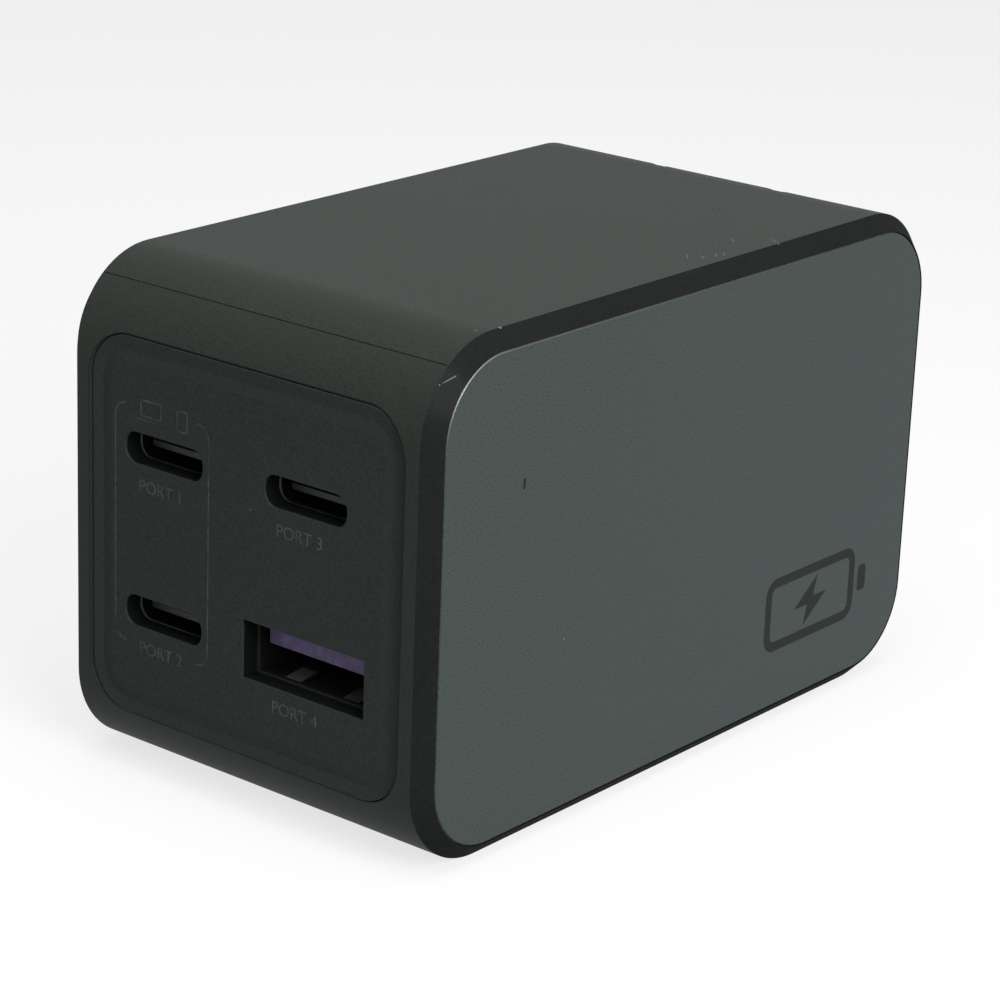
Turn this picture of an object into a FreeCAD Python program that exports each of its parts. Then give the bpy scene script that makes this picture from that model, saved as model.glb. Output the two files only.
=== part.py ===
import FreeCAD, Part
import math
import os
import re
import Sketcher
from FreeCAD import Rotation, Vector

# Charging block with four ports in front and a fold-away two-blade plug at the back.
# Millimetres, +Z up, ports face -Y, origin at the middle of the base.

SIZES = (
    # Housing
    ("body_width", "38.0", "across the ports, along X"),
    ("body_depth", "66.2", "front to back, along Y"),
    ("body_height", "42.0", "base to top, along Z"),
    ("corner_radius", "7.8", "rounded edges that run along X"),
    ("shell_wall", "2.0", "wall of the main shell and the front cover"),
    ("seam_gap", "0.08", "open joint between front cover and main shell"),
    ("seam_high", "2.75", "joint behind the front face, at the top"),
    ("seam_low", "5.2", "joint behind the front face, at the underside"),
    # Glossy rims and side plates
    ("rim_chamfer", "1.3", "45 degree bevel round each side"),
    ("rim_land", "0.03", "flat land inside the bevel"),
    ("plate_gap", "0.04", "joint between side plate and rim"),
    ("plate_thickness", "1.1", "side plate"),
    ("plate_bevel", "0.12", "broken edge of the side plate"),
    ("lip_depth", "1.2", "reach of the rim's lip into the shell"),
    ("lip_wall", "1.2", "thickness of that lip"),
    ("lip_gap", "0.05", "clearance of the lip in the shell"),
    # Port panel
    ("panel_width", "32.5", "port panel, along X"),
    ("panel_height", "31.3", "port panel, along Z"),
    ("panel_radius", "3.8", "corners of the port panel"),
    ("panel_gap", "0.1", "joint round the port panel"),
    ("panel_sink", "0.3", "port panel behind the flat of the front"),
    ("cove_margin", "0.12", "flat edge outside the port panel's cove"),
    ("cove_width", "1.9", "shallow cove round the port panel"),
    ("cove_depth", "0.15", "that cove"),
    ("ledge_width", "1.2", "ledge that the port panel is glued to"),
    ("ledge_thickness", "1.0", "that ledge, behind the port panel"),
    ("ledge_reach", "1.5", "ledge above and below the panel's window"),
    # Ports
    ("left_column", "8.46", "left ports, left of the middle"),
    ("right_column", "6.38", "right ports, right of the middle"),
    ("row_offset", "6.78", "port rows above and below the middle"),
    ("c_opening_width", "8.44", "USB-C opening"),
    ("c_opening_height", "2.64", "USB-C opening"),
    ("c_opening_radius", "1.2", "USB-C opening"),
    ("a_opening_width", "12.55", "USB-A opening"),
    ("a_opening_height", "4.84", "USB-A opening"),
    ("port_wall", "0.3", "sheet of the receptacle shells"),
    ("port_gap", "0.1", "receptacle behind the port panel"),
    ("port_reveal", "0.08", "edge of a receptacle that shows in its opening"),
    ("port_length", "10.4", "receptacle shells, along Y"),
    ("port_stop", "3.0", "insulating block at a receptacle's back"),
    ("c_tongue_width", "6.2", "USB-C tongue"),
    ("c_tongue_height", "0.7", "USB-C tongue"),
    ("c_tongue_setback", "0.15", "USB-C tongue behind its shell's mouth"),
    ("c_nose_bevel", "0.12", "bevels at the front of the USB-C tongue"),
    ("c_contact_pitch", "0.72", "USB-C contacts"),
    ("c_contact_width", "0.3", "USB-C contacts"),
    ("c_contact_length", "4.0", "USB-C contacts"),
    ("c_contact_height", "0.1", "USB-C contacts"),
    ("a_tongue_width", "11.1", "USB-A tongue"),
    ("a_tongue_height", "1.84", "USB-A tongue"),
    ("a_tongue_setback", "0.6", "USB-A tongue behind its shell's mouth"),
    ("a_contact_pitch", "2.3", "USB-A contacts"),
    ("a_contact_width", "1.1", "USB-A contacts"),
    ("a_contact_length", "5.0", "USB-A contacts"),
    ("a_contact_height", "0.25", "USB-A contacts"),
    ("tab_spread", "3.0", "USB-A spring tabs, beside the middle"),
    ("tab_width", "1.6", "USB-A spring tab"),
    ("tab_length", "3.6", "USB-A spring tab"),
    ("tab_rise", "0.45", "free end of a spring tab above the shell's floor"),
    ("tab_setback", "0.5", "bend of a spring tab behind the shell's mouth"),
    ("tab_slit", "0.3", "slit round a spring tab"),
    # Fold-away plug
    ("blade_spacing", "12.7", "blade to blade"),
    ("blade_width", "6.35", "plug blade"),
    ("blade_thickness", "1.5", "plug blade"),
    ("blade_reach", "16.5", "open blade beyond the back"),
    ("blade_inset", "0.53", "folded blade's edge below the back"),
    ("blade_clear", "0.33", "room round a blade's root"),
    ("tip_drop", "5.2", "folded tip below the top"),
    ("tip_clear", "0.4", "slot beyond the folded tip"),
    ("tip_taper", "1.6", "bevel at the blade's tip"),
    ("tip_hole_radius", "1.6", "hole near the tip"),
    ("tip_hole_inset", "4.3", "that hole, from the tip"),
    ("slot_width", "2.1", "slot that a blade folds into"),
    ("slot_wall", "1.4", "walls round a slot"),
    ("runout_angle", "81", "where a slot runs out on the rear top corner, degrees up its arc"),
    ("shaft_radius", "1.5", "plug shaft"),
    ("shaft_clear", "0.05", "running clearance of the shaft"),
    ("shaft_flat", "0.25", "detent flats on the shaft"),
    ("detent_width", "3.0", "detent spring and its flats"),
    ("retainer_thickness", "1.6", "plate that holds the shaft"),
    ("retainer_height", "13.0", "that plate, along Z"),
    ("screw_gap", "0.5", "screw bosses beside the slot walls"),
    ("screw_radius", "0.9", "retainer screw"),
    ("screw_clear", "0.05", "screw in its hole"),
    ("screw_head_radius", "1.7", "retainer screw"),
    ("screw_head_height", "1.2", "retainer screw"),
    ("screw_end", "0.6", "boss beyond the screw's end"),
    ("boss_wall", "1.0", "wall of a square screw boss"),
    ("detent_margin", "2.6", "detent spring's ends, from the retainer's top and bottom"),
    ("spring_sheet", "0.3", "sheet of the contact and detent springs"),
    ("spring_gap", "0.32", "springs clear of the turning plug"),
    ("spring_height", "5.0", "contact leaf"),
    ("spring_tab_width", "1.4", "solder tab of a contact"),
    ("spring_tab_length", "2.0", "solder tab beyond the retainer"),
    ("wire_radius", "0.8", "input wire with its insulation"),
    # Boards
    ("board_thickness", "1.6", "main board"),
    ("board_lift", "2.2", "main board above the shell's floor"),
    ("board_margin", "2.7", "main board inside the shell's open sides"),
    ("board_toe", "1.4", "main board ahead of the port board"),
    ("rail_width", "1.6", "rails under the main board"),
    ("port_board_thickness", "1.2", "port board"),
    ("port_board_top", "2.6", "port board below the shell's ceiling"),
    ("part_gap", "0.4", "between neighbours on the boards"),
    # On the boards
    ("spreader_sheet", "0.6", "heat spreader"),
    ("spreader_inset", "0.4", "heat spreader inside the board's edge"),
    ("spreader_drop", "3.4", "heat spreader below the ceiling"),
    ("spreader_length", "30.0", "heat spreader, along Y"),
    ("pad_thickness", "1.6", "pad between transformer and heat spreader"),
    ("core_plate", "4.0", "end plates of the transformer's core"),
    ("core_depth", "6.8", "transformer's core, along Y"),
    ("core_leg", "6.8", "middle leg of the core, along X"),
    ("core_cheek", "1.0", "core beside the winding"),
    ("bobbin_wall", "0.8", "bobbin"),
    ("foot_height", "1.6", "core above the board, on the bobbin's pin rails"),
    ("bulk_radius", "5.0", "bulk capacitor"),
    ("bulk_headroom", "0.8", "bulk capacitor below the heat spreader"),
    ("x_capacitor_depth", "5.6", "film capacitor"),
    ("x_capacitor_height", "13.0", "film capacitor"),
    ("x_capacitor_width", "12.5", "film capacitor"),
    ("choke_width", "9.2", "choke's core frame, along X"),
    ("choke_height", "9.2", "choke's core frame, along Z"),
    ("choke_thickness", "4.4", "choke's core frame, along Y"),
    ("choke_leg", "2.1", "legs of that frame"),
    ("choke_copper", "0.6", "layer of wire on a leg"),
    ("bridge_width", "9.0", "bridge rectifier"),
    ("bridge_depth", "2.6", "bridge rectifier"),
    ("bridge_height", "8.0", "bridge rectifier"),
    ("fuse_width", "8.4", "boxed fuse"),
    ("fuse_depth", "4.0", "boxed fuse"),
    ("fuse_height", "7.7", "boxed fuse"),
    ("y_capacitor_width", "5.8", "boxed safety capacitor"),
    ("y_capacitor_depth", "2.6", "boxed safety capacitor"),
    ("y_capacitor_height", "6.4", "boxed safety capacitor"),
    ("output_radius", "2.2", "output capacitor"),
    ("output_height", "8.0", "output capacitor"),
    ("output_spacing", "6.0", "output capacitors"),
    ("optocoupler_width", "6.4", "optocoupler"),
    ("optocoupler_depth", "4.2", "optocoupler"),
    ("optocoupler_height", "3.4", "optocoupler"),
    ("inductor_side", "7.0", "buck inductor"),
    ("inductor_depth", "3.4", "buck inductor"),
    ("inductor_bevel", "0.8", "corners of the buck inductor"),
    ("inductor_spread", "8.0", "buck inductors, beside the middle"),
    ("inductor_rise", "4.0", "buck inductors above the middle"),
    ("chip_height", "0.9", "flat chips"),
    ("controller_side", "5.0", "port controller chips"),
    ("controller_rise", "3.4", "port controllers above and below their middle"),
    ("switch_width", "6.0", "power switch chip"),
    ("switch_length", "8.0", "power switch chip"),
    ("rectifier_width", "5.0", "synchronous rectifier chip"),
    ("rectifier_length", "6.0", "synchronous rectifier chip"),
    ("chip_spacing", "14.0", "between those two chips"),
    ("film_thickness", "0.3", "insulating film on the shell's floor"),
)

# Places that follow from the sizes above
PLACES = (
    ("front", "-body_depth / 2"),
    ("back", "body_depth / 2"),
    ("middle", "body_height / 2"),
    ("shell_half", "body_width / 2 - rim_chamfer"),
    ("cavity_depth", "body_depth - 2 * shell_wall"),
    ("cavity_height", "body_height - 2 * shell_wall"),
    ("cavity_radius", "corner_radius - shell_wall"),
    ("ceiling", "body_height - shell_wall"),
    ("plate_inset", "rim_chamfer + rim_land + plate_gap"),
    ("plate_floor", "body_width / 2 - plate_thickness"),
    ("panel_front", "front + panel_sink"),
    ("panel_back", "front + shell_wall"),
    ("ledge_back", "panel_back + ledge_thickness"),
    ("ledge_half", "shell_half - lip_depth - lip_gap"),
    ("mouth", "panel_back + port_gap"),
    ("port_rear", "mouth + port_length"),
    ("port_stop_front", "port_rear - port_stop"),
    ("port_board_rear", "port_rear + port_board_thickness"),
    ("c_tongue_front", "mouth + c_tongue_setback"),
    ("a_tongue_front", "mouth + a_tongue_setback"),
    ("pivot_y", "back - blade_inset - blade_width / 2"),
    ("blade_length", "back + blade_reach - pivot_y"),
    ("pivot_z", "body_height - tip_drop - blade_length"),
    ("root_radius", "blade_width / 2"),
    ("slot_floor", "pivot_y - root_radius - blade_clear"),
    ("slot_low", "pivot_z - root_radius - blade_clear"),
    ("slot_high", "body_height - tip_drop + tip_clear"),
    ("runout_y", "back - corner_radius + corner_radius * cos(runout_angle)"),
    ("runout_z", "body_height - corner_radius + corner_radius * sin(runout_angle)"),
    ("blade_x", "blade_spacing / 2"),
    ("housing_half", "slot_width / 2 + slot_wall"),
    ("housing_front", "slot_floor - slot_wall"),
    ("retainer_front", "housing_front - retainer_thickness"),
    ("bore_radius", "shaft_radius + shaft_clear"),
    ("shaft_half", "blade_x + housing_half"),
    ("boss_half", "screw_radius + boss_wall"),
    ("screw_x", "shaft_half + screw_gap + boss_half"),
    ("retainer_half", "screw_x + boss_half"),
    ("leaf_back", "pivot_y - root_radius - spring_gap"),
    ("tab_end", "retainer_front - spring_tab_length"),
    ("wire_y", "tab_end + wire_radius"),
    ("board_bottom", "shell_wall + board_lift"),
    ("board_top", "board_bottom + board_thickness"),
    ("board_half", "shell_half - board_margin"),
    ("board_front", "port_rear - board_toe"),
    ("board_rear", "wire_y + wire_radius + part_gap"),
    ("spreader_outer", "board_half - spreader_inset"),
    ("spreader_inner", "spreader_outer - spreader_sheet"),
    ("spreader_under", "ceiling - spreader_drop - spreader_sheet"),
    ("row_front", "port_board_rear + optocoupler_depth + 2 * part_gap"),
    ("bulk_x", "spreader_inner - part_gap - bulk_radius"),
    ("bulk_height", "spreader_under - bulk_headroom - board_top"),
    ("core_right", "bulk_x - bulk_radius - part_gap"),
    ("core_left", "-spreader_inner + part_gap"),
    ("core_width", "core_right - core_left"),
    ("core_x", "(core_right + core_left) / 2"),
    ("core_bottom", "board_top + foot_height"),
    ("core_top", "spreader_under - pad_thickness"),
    ("window_half", "core_width / 2 - core_cheek"),
    ("window_bottom", "core_bottom + core_plate"),
    ("window_top", "core_top - core_plate"),
    ("sleeve_x", "core_leg / 2 + bobbin_wall"),
    ("sleeve_y", "core_depth / 2 + bobbin_wall"),
    ("flange_x", "window_half - part_gap"),
    ("flange_y", "core_depth / 2 + window_half - core_leg / 2 - part_gap"),
    ("core_y", "row_front + flange_y"),
    ("rear_row", "core_y + flange_y + part_gap"),
    ("bridge_y", "rear_row + x_capacitor_depth + part_gap"),
    ("fuse_y", "bridge_y + bridge_depth + part_gap"),
    ("choke_y", "row_front + 4 * bulk_radius + 2 * part_gap + choke_thickness / 2 + choke_copper"),
)

NAMES = {name for name, *_ in SIZES}
DERIVED = {name for name, *_ in PLACES}

doc = FreeCAD.newDocument("charging_block")
sizes = doc.addObject("Spreadsheet::Sheet", "Sizes")
places = doc.addObject("Spreadsheet::Sheet", "Places")
SCRATCH_CELL = "D1"
NODES = []


def qualified(text):
    """An expression in which each size or place carries the name of its sheet."""
    def with_sheet(found):
        name = found.group(0)
        if name in NAMES:
            return "Sizes." + name
        return "Places." + name if name in DERIVED else name
    return re.sub(r"[a-z_][a-z_0-9]*", with_sheet, str(text))


def number(text):
    """The present value of an expression, in millimetres or degrees."""
    places.set(SCRATCH_CELL, "=" + qualified(text))
    places.recompute()
    return float(places.get(SCRATCH_CELL))


def bind(item, **expressions):
    """Tie properties of a document object to the sheets; x, y and z are its place."""
    for name, text in expressions.items():
        target = "Placement.Base." + name if name in ("x", "y", "z") else name
        item.setExpression(target, qualified(text))
    return item


def fill_sheets():
    for row, (name, value, note) in enumerate(SIZES, start=1):
        sizes.set(f"A{row}", value)
        sizes.setAlias(f"A{row}", name)
        sizes.set(f"B{row}", note)
    doc.recompute()
    for row, (name, formula) in enumerate(PLACES, start=1):
        places.setAlias(f"A{row}", name)
        places.set(f"A{row}", "=" + qualified(formula))
    doc.recompute()


def node(item, label):
    """Give a finished piece its own label and keep it for the files."""
    item.Label = label
    NODES.append(item)
    return item


# Solids

def box(x, y, z):
    """A block between two places along each axis."""
    item = doc.addObject("Part::Box", "Block")
    bind(item, x=x[0], y=y[0], z=z[0])
    for name, (low, high) in (("Length", x), ("Width", y), ("Height", z)):
        bind(item, **{name: f"({high}) - ({low})"})
    return item


TURNS = {"x": Rotation(Vector(0, 1, 0), 90), "y": Rotation(Vector(1, 0, 0), -90), "z": Rotation()}


def rod(axis, radius, length, x, y, z):
    """A cylinder that starts at a place and runs along +X, +Y or +Z."""
    item = doc.addObject("Part::Cylinder", "Rod")
    item.Placement.Rotation = TURNS[axis]
    return bind(item, Radius=radius, Height=length, x=x, y=y, z=z)


def cut(base, *tools):
    item = doc.addObject("Part::Cut", "Cut")
    item.Base = base
    item.Tool = tools[0] if len(tools) == 1 else fuse(*tools)
    return item


def fuse(*parts):
    item = doc.addObject("Part::MultiFuse", "Fuse")
    item.Shapes = list(parts)
    item.Refine = True
    return item


def common(*parts):
    item = doc.addObject("Part::MultiCommon", "Common")
    item.Shapes = list(parts)
    return item


def group(*parts):
    item = doc.addObject("Part::Compound", "Group")
    item.Links = list(parts)
    return item


# Sketched outlines

def sketch_on(body, plane, start, u="0", v="0"):
    """A sketch of a body on one of its own planes, moved to its place."""
    sketch = body.newObject("Sketcher::SketchObject", "Outline")
    support = [item for item in body.Origin.OriginFeatures if item.Role == plane]
    sketch.AttachmentSupport = [(support[0], "")]
    sketch.MapMode = "FlatFace"
    for axis, text in zip("xyz", (u, v, start)):
        sketch.setExpression("AttachmentOffset.Base." + axis, qualified(text))
    return sketch


def dimension(sketch, kind, places_on, text, label):
    index = sketch.addConstraint(Sketcher.Constraint(kind, *places_on, number(text)))
    sketch.renameConstraint(index, label)
    sketch.setExpression("Constraints." + label, qualified(text))


def draw_rounded(sketch, width, height, radius):
    """A rectangle with round corners, centred on the sketch."""
    w, h, r = number(f"({width}) / 2"), number(f"({height}) / 2"), number(radius)
    corners = ((w, -h, 1, -1), (w, h, 1, 1), (-w, h, -1, 1), (-w, -h, -1, -1))
    ends = []
    for (u, v, su, sv), start in zip(corners, (270, 0, 90, 180)):
        circle = Part.Circle(Vector(u - su * r, v - sv * r, 0), Vector(0, 0, 1), r)
        turn = math.radians(start)
        arc = Part.ArcOfCircle(circle, turn, turn + math.pi / 2)
        ends.append(sketch.addGeometry(arc))
    sides = []
    for i in range(4):
        first = sketch.getPoint(ends[i], 2)
        last = sketch.getPoint(ends[(i + 1) % 4], 1)
        sides.append(sketch.addGeometry(Part.LineSegment(first, last)))
    for i in range(4):
        sketch.addConstraint(Sketcher.Constraint("Tangent", ends[i], 2, sides[i], 1))
        sketch.addConstraint(Sketcher.Constraint("Tangent", sides[i], 2, ends[(i + 1) % 4], 1))
        sketch.addConstraint(Sketcher.Constraint("Vertical" if i % 2 == 0 else "Horizontal", sides[i]))
    for i in range(1, 4):
        sketch.addConstraint(Sketcher.Constraint("Equal", ends[0], ends[i]))
    dimension(sketch, "Radius", (ends[0],), radius, "corner")
    dimension(sketch, "DistanceX", (-1, 1, sides[0], 1), f"({width}) / 2", "right")
    dimension(sketch, "DistanceX", (sides[2], 1, -1, 1), f"({width}) / 2", "left")
    dimension(sketch, "DistanceY", (-1, 1, sides[1], 1), f"({height}) / 2", "top")
    dimension(sketch, "DistanceY", (sides[3], 1, -1, 1), f"({height}) / 2", "bottom")


def draw_polygon(sketch, points):
    """Straight lines through a few corners, each tied to its own place."""
    spots = [Vector(number(u), number(v), 0) for u, v in points]
    count = len(points)
    for i in range(count):
        sketch.addGeometry(Part.LineSegment(spots[i], spots[(i + 1) % count]))
    for i in range(count):
        sketch.addConstraint(Sketcher.Constraint("Coincident", i, 2, (i + 1) % count, 1))
    for i, (u, v) in enumerate(points):
        dimension(sketch, "DistanceX", (-1, 1, i, 1), u, f"across_{i}")
        dimension(sketch, "DistanceY", (-1, 1, i, 1), v, f"up_{i}")


def draw_chamfered(sketch, width, height, corner):
    """A rectangle with its corners cut off straight, centred on the sketch."""
    w, h = f"({width}) / 2", f"({height}) / 2"
    short_w, short_h = f"({w} - ({corner}))", f"({h} - ({corner}))"
    draw_polygon(sketch, (
        (f"-{w}", f"-{short_h}"), (f"-{short_w}", f"-{h}"), (short_w, f"-{h}"), (w, f"-{short_h}"),
        (w, short_h), (short_w, h), (f"-{short_w}", h), (f"-{w}", short_h),
    ))


def pad(body, sketch, length):
    feature = body.newObject("PartDesign::Pad", "Pad")
    feature.Profile = sketch
    bind(feature, Length=length)
    return feature


def along_x(draw, outline, low, high, y="0", z="0"):
    """A prism along X: an outline in Y and Z between two places."""
    body = doc.addObject("PartDesign::Body", "Prism")
    sketch = sketch_on(body, "YZ_Plane", low, y, z)
    draw(sketch, *outline)
    pad(body, sketch, f"({high}) - ({low})")
    return body


def along_y(draw, outline, low, high, x="0", z="0"):
    """A prism along Y: an outline in X and Z between two places."""
    body = doc.addObject("PartDesign::Body", "Prism")
    sketch = sketch_on(body, "XZ_Plane", f"-({high})", x, z)
    draw(sketch, *outline)
    pad(body, sketch, f"({high}) - ({low})")
    return body


# Housing

def whole_block():
    """The rounded block between the two side rims, before it is hollowed."""
    outline = ("body_depth", "body_height", "corner_radius")
    return along_x(draw_rounded, outline, "-shell_half", "shell_half", z="middle")


def cavity():
    outline = ("cavity_depth", "cavity_height", "cavity_radius")
    return along_x(draw_rounded, outline, "-shell_half", "shell_half", z="middle")


def ahead_of_seam(shift):
    """What lies ahead of the sloping joint between front cover and main shell."""
    outline = (
        ("front - 1", "-1"),
        (f"front + seam_low + ({shift})", "-1"),
        (f"front + seam_high + ({shift})", "body_height + 1"),
        ("front - 1", "body_height + 1"),
    )
    return along_x(draw_polygon, (outline,), "-shell_half - 1", "shell_half + 1")


def slot(side):
    """The space that a blade folds into, running out on the rear top corner."""
    beyond_y = "runout_y + (runout_y - slot_floor) / 2"
    beyond_z = "runout_z + (runout_z - slot_high) / 2"
    outline = (
        ("slot_floor", "slot_low"),
        ("back + corner_radius", "slot_low"),
        ("back + corner_radius", beyond_z),
        (beyond_y, beyond_z),
        ("slot_floor", "slot_high"),
    )
    middle = f"{side} * blade_x"
    return along_x(draw_polygon, (outline,), f"{middle} - slot_width / 2", f"{middle} + slot_width / 2")


def slot_housing(side):
    """The moulded walls round a slot, inside the back of the shell."""
    outline = (
        ("housing_front", "slot_low - slot_wall"),
        ("back - shell_wall / 2", "slot_low - slot_wall"),
        ("back - shell_wall / 2", "body_height"),
        ("runout_y - 2 * slot_wall", "body_height"),
        ("housing_front", "slot_high"),
    )
    middle = f"{side} * blade_x"
    block = along_x(draw_polygon, (outline,), f"{middle} - housing_half", f"{middle} + housing_half")
    return common(block, whole_block())


def shaft_channel():
    """The open seat of the plug shaft, and the gaps that let the blade roots in."""
    length = "2 * shaft_half + 2"
    seat = rod("x", "bore_radius", length, "-shaft_half - 1", "pivot_y", "pivot_z")
    mouth = box(("-shaft_half - 1", "shaft_half + 1"), ("housing_front - 1", "pivot_y"),
                ("pivot_z - bore_radius", "pivot_z + bore_radius"))
    roots = []
    for side in (-1, 1):
        middle = f"{side} * blade_x"
        roots.append(box((f"{middle} - slot_width / 2", f"{middle} + slot_width / 2"),
                         ("housing_front - 1", "pivot_y"),
                         ("slot_low", "pivot_z + root_radius + blade_clear")))
    return fuse(seat, mouth, *roots)


def screw_places():
    return [(f"{side} * screw_x", "pivot_z") for side in (-1, 1)]


def main_shell():
    walls = cut(whole_block(), cavity(), ahead_of_seam("seam_gap / 2"))
    inner_back = "back - shell_wall"
    additions = [slot_housing(side) for side in (-1, 1)]
    for side in (-1, 1):
        inner = f"{side} * (board_half - rail_width / 2)"
        additions.append(box((f"{inner} - rail_width / 2", f"{inner} + rail_width / 2"),
                             ("port_board_rear", "board_rear"), ("shell_wall / 2", "board_bottom")))
    for x, z in screw_places():
        additions.append(box((f"{x} - boss_half", f"{x} + boss_half"),
                             ("housing_front", f"{inner_back} + shell_wall / 2"),
                             (f"{z} - boss_half", f"{z} + boss_half")))
    holes = []
    for x, z in screw_places():
        length = f"{inner_back} - screw_end - housing_front + 1"
        holes.append(rod("y", "screw_radius + screw_clear", length, x, "housing_front - 1", z))
    body = cut(fuse(walls, *additions), slot(-1), slot(1), shaft_channel(), *holes)
    return node(body, "main_shell")


def front_cover():
    tray = common(cut(whole_block(), cavity()), ahead_of_seam("-seam_gap / 2"))
    outline = ("panel_width + 2 * panel_gap", "panel_height + 2 * panel_gap", "panel_radius + panel_gap")
    window = along_y(draw_rounded, outline, "front - 1", "front + 2 * shell_wall", z="middle")
    rise = "panel_height / 2 + ledge_reach"
    ledge = box(("-ledge_half", "ledge_half"), ("panel_back", "ledge_back"),
                (f"middle - ({rise})", f"middle + {rise}"))
    opening_behind = along_y(draw_chamfered, panel_outline("ledge_width"), "front", "ledge_back + 1",
                             z="middle")
    return node(fuse(cut(tray, window), cut(ledge, opening_behind)), "front_cover")


def bezel_outline(inset):
    return (f"body_depth - 2 * ({inset})", f"body_height - 2 * ({inset})", f"corner_radius - ({inset})")


def side_bezel(side, label):
    """The glossy rim of one side: a bevelled ring, a ledge for the plate and four lips in the shell."""
    ring = doc.addObject("PartDesign::Body", "Ring")
    base = sketch_on(ring, "YZ_Plane", "shell_half", v="middle")
    draw_rounded(base, *bezel_outline("0"))
    top = sketch_on(ring, "YZ_Plane", "body_width / 2", v="middle")
    draw_rounded(top, *bezel_outline("rim_chamfer"))
    loft = ring.newObject("PartDesign::AdditiveLoft", "Bevel")
    loft.Profile = base
    loft.Sections = [top]
    loft.Ruled = True
    lips = []
    inset = "shell_wall + lip_gap"
    reach = ("shell_half - lip_depth", "plate_floor")
    upright = ("corner_radius", "body_height - corner_radius")
    for y in ((f"front + {inset}", f"front + {inset} + lip_wall"),
              (f"back - ({inset} + lip_wall)", f"back - ({inset})")):
        lips.append(box(reach, y, upright))
    lengthwise = ("front + corner_radius", "back - corner_radius")
    for z in ((inset, f"{inset} + lip_wall"),
              (f"body_height - ({inset} + lip_wall)", f"body_height - ({inset})")):
        lips.append(box(reach, lengthwise, z))
    pocket = along_x(draw_rounded, bezel_outline("rim_chamfer + rim_land"), "plate_floor",
                     "body_width / 2 + 1", z="middle")
    window = along_x(draw_chamfered, bezel_outline("shell_wall + lip_gap + lip_wall"),
                     "shell_half - lip_depth - 1", "body_width / 2", z="middle")
    return node(mirrored(cut(fuse(ring, *lips), pocket, window), side), label)


def side_panel(side, label):
    """The plate of one side, with a broken outer edge."""
    plate = along_x(draw_rounded, bezel_outline("plate_inset"), "plate_floor", "body_width / 2", z="middle")
    doc.recompute()
    outer = number("body_width / 2")
    edges = [f"Edge{i}" for i, edge in enumerate(plate.Shape.Edges, start=1)
             if min(vertex.X for vertex in edge.Vertexes) > outer - 0.01]
    slab = plate.Tip
    bevel = plate.newObject("PartDesign::Chamfer", "Bevel")
    bevel.Base = (slab, edges)
    bind(bevel, Size="plate_bevel")
    plate.Tip = bevel
    return node(mirrored(plate, side), label)


def mirrored(item, side):
    """The piece itself on the right, or its mirror image on the left."""
    if side > 0:
        return item
    image = doc.addObject("Part::Mirroring", "Mirror")
    image.Source = item
    image.Normal = Vector(1, 0, 0)
    return image


def port_spots():
    """Kind and place of each port opening: three USB-C and one USB-A."""
    high = "middle + row_offset"
    low = "middle - row_offset"
    return (("c", "-left_column", high), ("c", "-left_column", low),
            ("c", "right_column", high), ("a", "right_column", low))


def port_stop(kind, half, x, z):
    """The insulating block that closes a receptacle's back."""
    rise = f"({kind}_opening_height / 2 - port_reveal)"
    return box((f"{x} - ({half})", f"{x} + {half}"), ("port_stop_front", "port_rear"),
               (f"{z} - {rise}", f"{z} + {rise}"))


def port_prism(kind, inset, low, high, x, z):
    """The form of a port opening, made smaller all round: USB-C with round ends, USB-A square."""
    if kind == "c":
        outline = (f"c_opening_width - 2 * ({inset})", f"c_opening_height - 2 * ({inset})",
                   f"c_opening_radius - ({inset})")
        return along_y(draw_rounded, outline, low, high, x, z)
    half = f"(a_opening_width / 2 - ({inset}))"
    rise = f"(a_opening_height / 2 - ({inset}))"
    return box((f"{x} - {half}", f"{x} + {half}"), (low, high), (f"{z} - {rise}", f"{z} + {rise}"))


def panel_outline(inset):
    return (f"panel_width - 2 * ({inset})", f"panel_height - 2 * ({inset})", f"panel_radius - ({inset})")


def port_panel():
    """The front panel: a shallow groove along its edge, a flat middle and four openings."""
    plate = along_y(draw_rounded, panel_outline("0"), "panel_front", "panel_back", z="middle")
    groove = doc.addObject("PartDesign::Body", "Groove")
    path = sketch_on(groove, "XZ_Plane", "-panel_front", v="middle")
    draw_rounded(path, *panel_outline("cove_margin"))
    section = sketch_on(groove, "YZ_Plane", "0")
    edge = "middle + panel_height / 2 - cove_margin"
    draw_polygon(section, (("panel_front", edge), ("panel_front", f"{edge} - cove_width"),
                           ("panel_front + cove_depth", f"{edge} - cove_width / 2")))
    sweep = groove.newObject("PartDesign::AdditivePipe", "Sweep")
    sweep.Profile = section
    sweep.Spine = (path, [])
    holes = [port_prism(kind, "0", "front - 1", "panel_back + 1", x, z) for kind, x, z in port_spots()]
    return node(cut(plate, groove, *holes), "port_panel")


# Receptacles

def receptacle_tube(kind, x, z):
    outer = port_prism(kind, "port_reveal - port_wall", "mouth", "port_rear", x, z)
    inner = port_prism(kind, "port_reveal", "mouth - 1", "port_rear + 1", x, z)
    return outer, inner


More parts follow.
